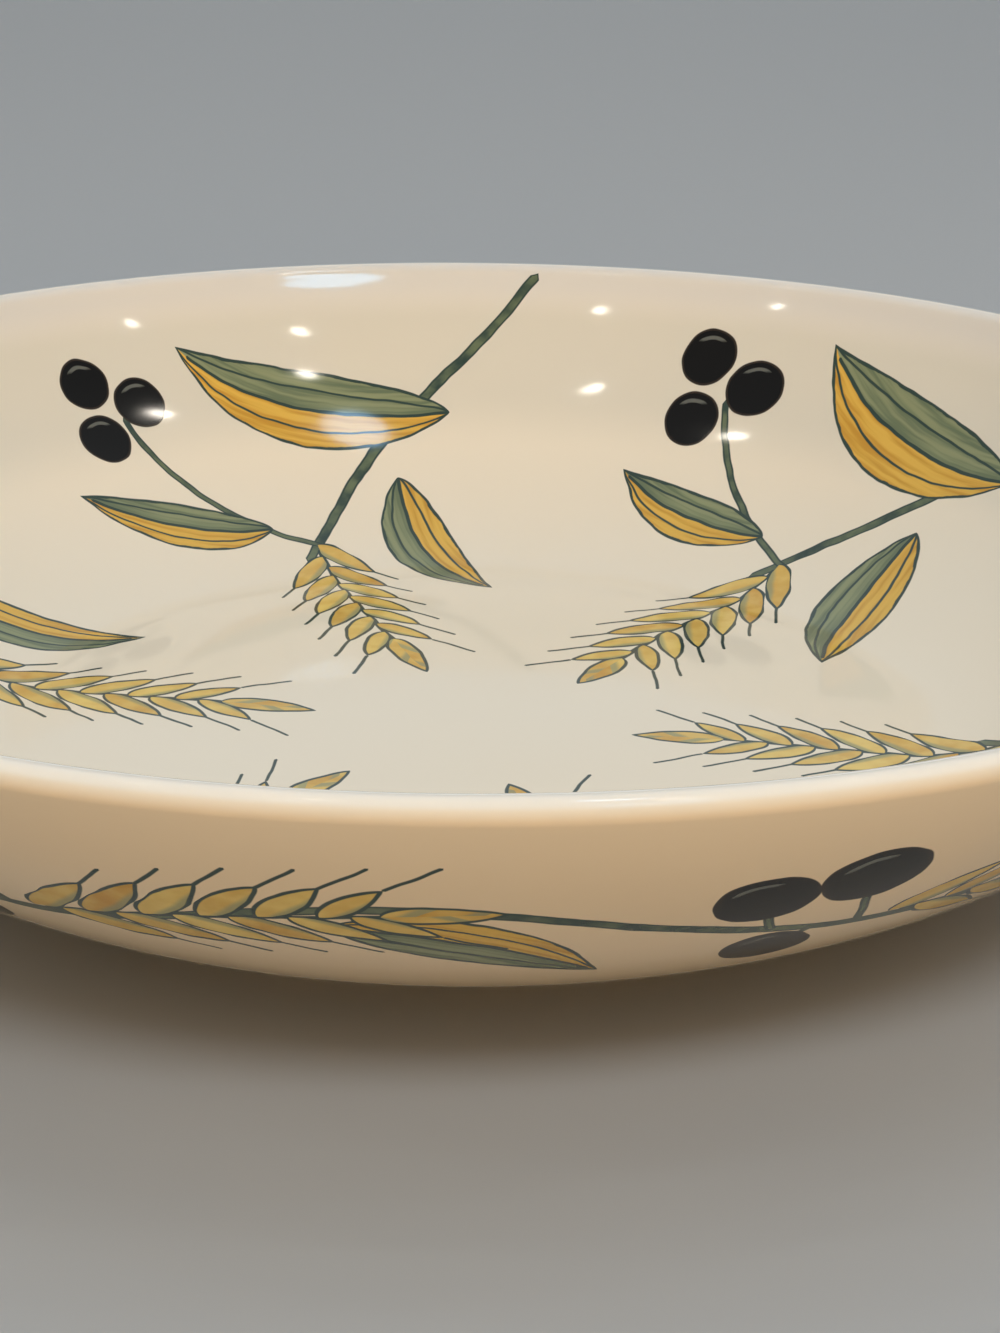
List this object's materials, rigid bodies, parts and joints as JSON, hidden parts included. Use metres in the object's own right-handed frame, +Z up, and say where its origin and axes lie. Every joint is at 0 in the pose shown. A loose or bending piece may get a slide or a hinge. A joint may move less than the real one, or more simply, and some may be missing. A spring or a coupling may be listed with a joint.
{
  "type": "serving bowl",
  "caption": "Wide shallow round serving bowl with a leaning curved wall, rounded lip, glazed faces and a bare foot ring, for serving food at the table.",
  "frame": {"origin": "centre of the foot ring, on the surface that the bowl stands on", "axes": "+Z up, through the middle of the bowl; X and Y lie across the rim, with the picture taken from -Y"},
  "size_m": [0.33, 0.33, 0.066],
  "materials": {
    "clay": "bare fired clay, matt",
    "glaze": "glossy cream glaze with painted sprigs"
  },
  "bodies": {
    "root": {"clay_body": "clay", "glaze_coat": "glaze", "base_glaze": "glaze"}
  },
  "joints": []
}
